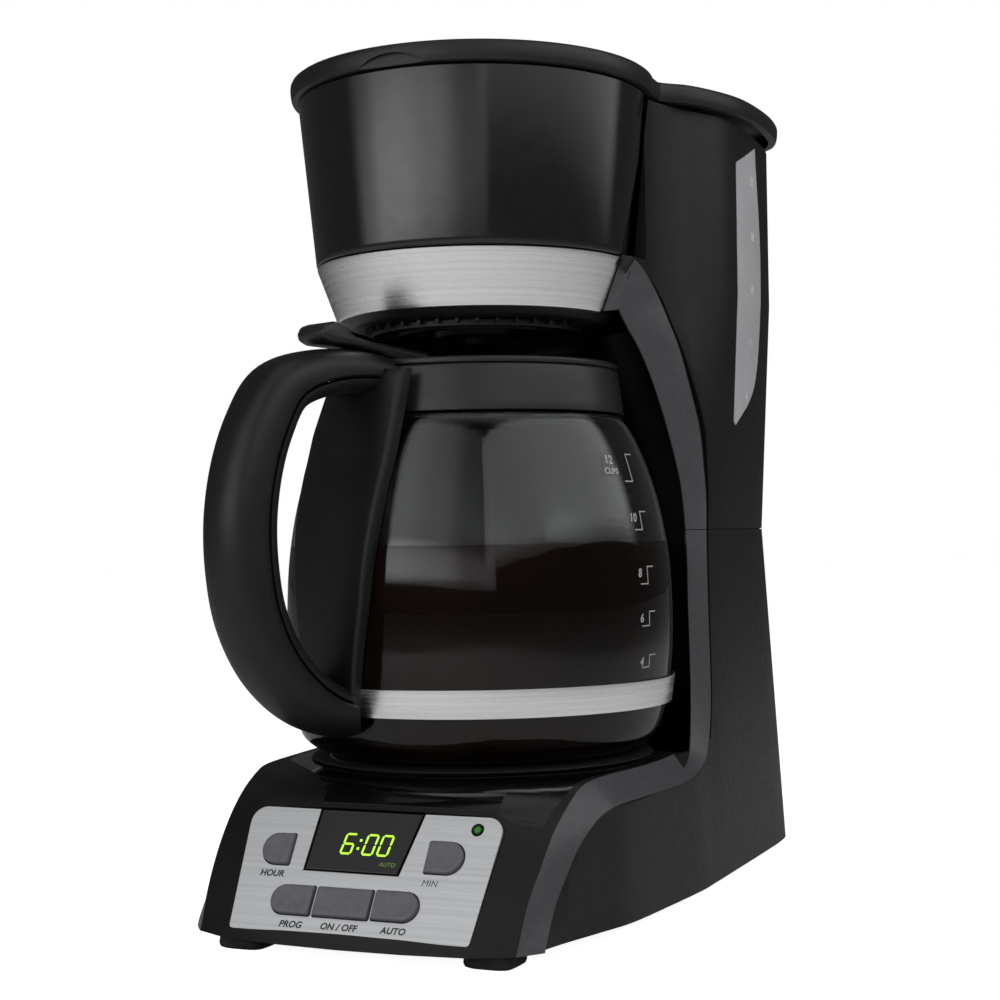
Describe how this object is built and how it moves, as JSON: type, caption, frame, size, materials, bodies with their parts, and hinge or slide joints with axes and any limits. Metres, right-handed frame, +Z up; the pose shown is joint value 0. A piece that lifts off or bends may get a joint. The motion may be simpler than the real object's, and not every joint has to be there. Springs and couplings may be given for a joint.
{
  "type": "drip coffee maker",
  "caption": "Programmable drip coffee maker with a hinged cover, lift-out brew basket, glass carafe on a warming plate, side water window and sloping control panel.",
  "frame": {"origin": "centre of the object's footprint box, on the surface that the feet stand on", "axes": "+Z up, -Y towards the control panel and carafe, +X to the right of a person facing the panel, where the water window is"},
  "size_m": [0.1874, 0.3009, 0.329],
  "materials": {
    "housing_black": "fine satin grain, near-black",
    "liner_black": "glossy near-black",
    "shell_gloss": "polished near-black with soft vertical highlights",
    "cover_black": "fine satin grain, near-black",
    "basket_black": "satin near-black",
    "brushed_steel": "brushed around the band",
    "panel_steel": "brushed across, light grey",
    "plated_steel": "plated, slightly dull",
    "carafe_glass": "clear heat-proof glass",
    "carafe_black": "satin near-black",
    "window_grey": "translucent smoked grey",
    "tank_grey": "matte dark grey",
    "button_grey": "satin mid grey",
    "display_black": "mirror-like black window",
    "led_green": "clear green lens",
    "foot_rubber": "matte black rubber",
    "plate_black": "non-stick black coating",
    "cast_aluminium": "plain, as cast or drawn",
    "silicone": "milky silicone",
    "board_green": "green solder mask",
    "relay_black": "matte black"
  },
  "bodies": {
    "housing": {"lower_housing": "housing_black", "upper_housing": "housing_black", "base_pan": "housing_black", "bay_liner": "liner_black", "basket_housing": "housing_black", "front_shell": "shell_gloss", "steel_band": "brushed_steel", "nozzle_ring": "housing_black", "water_window": "window_grey", "water_tank": "tank_grey", "warming_plate": "plate_black", "plate_ring": "foot_rubber", "heater": "cast_aluminium", "heater_bracket": "plated_steel", "thermostat": "cast_aluminium", "thermal_fuse": "cast_aluminium", "cold_water_hose": "silicone", "check_valve": "cast_aluminium", "hot_water_riser": "silicone", "control_panel": "panel_steel", "display_lens": "display_black", "display_module": "display_black", "indicator_light": "led_green", "control_board": "board_green", "power_board": "board_green", "relay": "relay_black", "cord_inlet": "foot_rubber", "hinge_pin_left": "plated_steel", "hinge_pin_right": "plated_steel", "base_screw_left": "plated_steel", "base_screw_right": "plated_steel", "foot_front_left": "foot_rubber", "foot_front_right": "foot_rubber", "foot_rear_left": "foot_rubber", "foot_rear_right": "foot_rubber"},
    "cover": {"cover": "cover_black", "spray_head": "cover_black"},
    "brew_basket": {"brew_basket": "basket_black"},
    "drip_stop": {"drip_stop_valve": "silicone", "drip_stop_spring": "plated_steel"},
    "carafe": {"carafe_glass": "carafe_glass", "carafe_collar": "carafe_black", "carafe_band": "brushed_steel", "carafe_handle": "carafe_black", "handle_insert": "carafe_black", "handle_strap": "carafe_black"},
    "carafe_lid": {"carafe_lid": "carafe_black"},
    "hour_button": {"hour_button": "button_grey"},
    "min_button": {"min_button": "button_grey"},
    "prog_button": {"prog_button": "button_grey"},
    "on_off_button": {"on_off_button": "button_grey"},
    "auto_button": {"auto_button": "button_grey"}
  },
  "joints": [
    {"name": "cover_hinge", "type": "hinge", "parent": "housing", "child": "cover", "pos_m": [0, 0.131, 0.3235], "axis": [-1, 0, 0], "range_deg": [0, 100]},
    {"name": "brew_basket_lift", "type": "slide", "parent": "housing", "child": "brew_basket", "axis": [0, 0, 1], "range_m": [0, 0.09]},
    {"name": "drip_stop_slide", "type": "slide", "parent": "brew_basket", "child": "drip_stop", "axis": [0, 0, -1], "range_m": [0, 0.004]},
    {"name": "carafe_slide", "type": "slide", "parent": "housing", "child": "carafe", "axis": [0, -1, 0], "range_m": [0, 0.24]},
    {"name": "carafe_lid_hinge", "type": "hinge", "parent": "carafe", "child": "carafe_lid", "pos_m": [-0.0207, -0.0804, 0.2178], "axis": [0.9397, -0.342, 0], "range_deg": [0, 2]},
    {"name": "hour_press", "type": "slide", "parent": "housing", "child": "hour_button", "axis": [0, 0.8472, -0.5313], "range_m": [0, 0.0012], "stiffness_N_per_m": 350},
    {"name": "min_press", "type": "slide", "parent": "housing", "child": "min_button", "axis": [0, 0.8472, -0.5313], "range_m": [0, 0.0012], "stiffness_N_per_m": 350},
    {"name": "prog_press", "type": "slide", "parent": "housing", "child": "prog_button", "axis": [0, 0.8472, -0.5313], "range_m": [0, 0.0012], "stiffness_N_per_m": 350},
    {"name": "on_off_press", "type": "slide", "parent": "housing", "child": "on_off_button", "axis": [0, 0.8472, -0.5313], "range_m": [0, 0.0012], "stiffness_N_per_m": 350},
    {"name": "auto_press", "type": "slide", "parent": "housing", "child": "auto_button", "axis": [0, 0.8472, -0.5313], "range_m": [0, 0.0012], "stiffness_N_per_m": 350}
  ],
  "couplings": [
    {"joint": "brew_basket_lift", "follows": "cover_hinge", "m_per_rad": 0.0515},
    {"joint": "drip_stop_slide", "follows": "carafe_slide", "ratio": 0.0166}
  ]
}
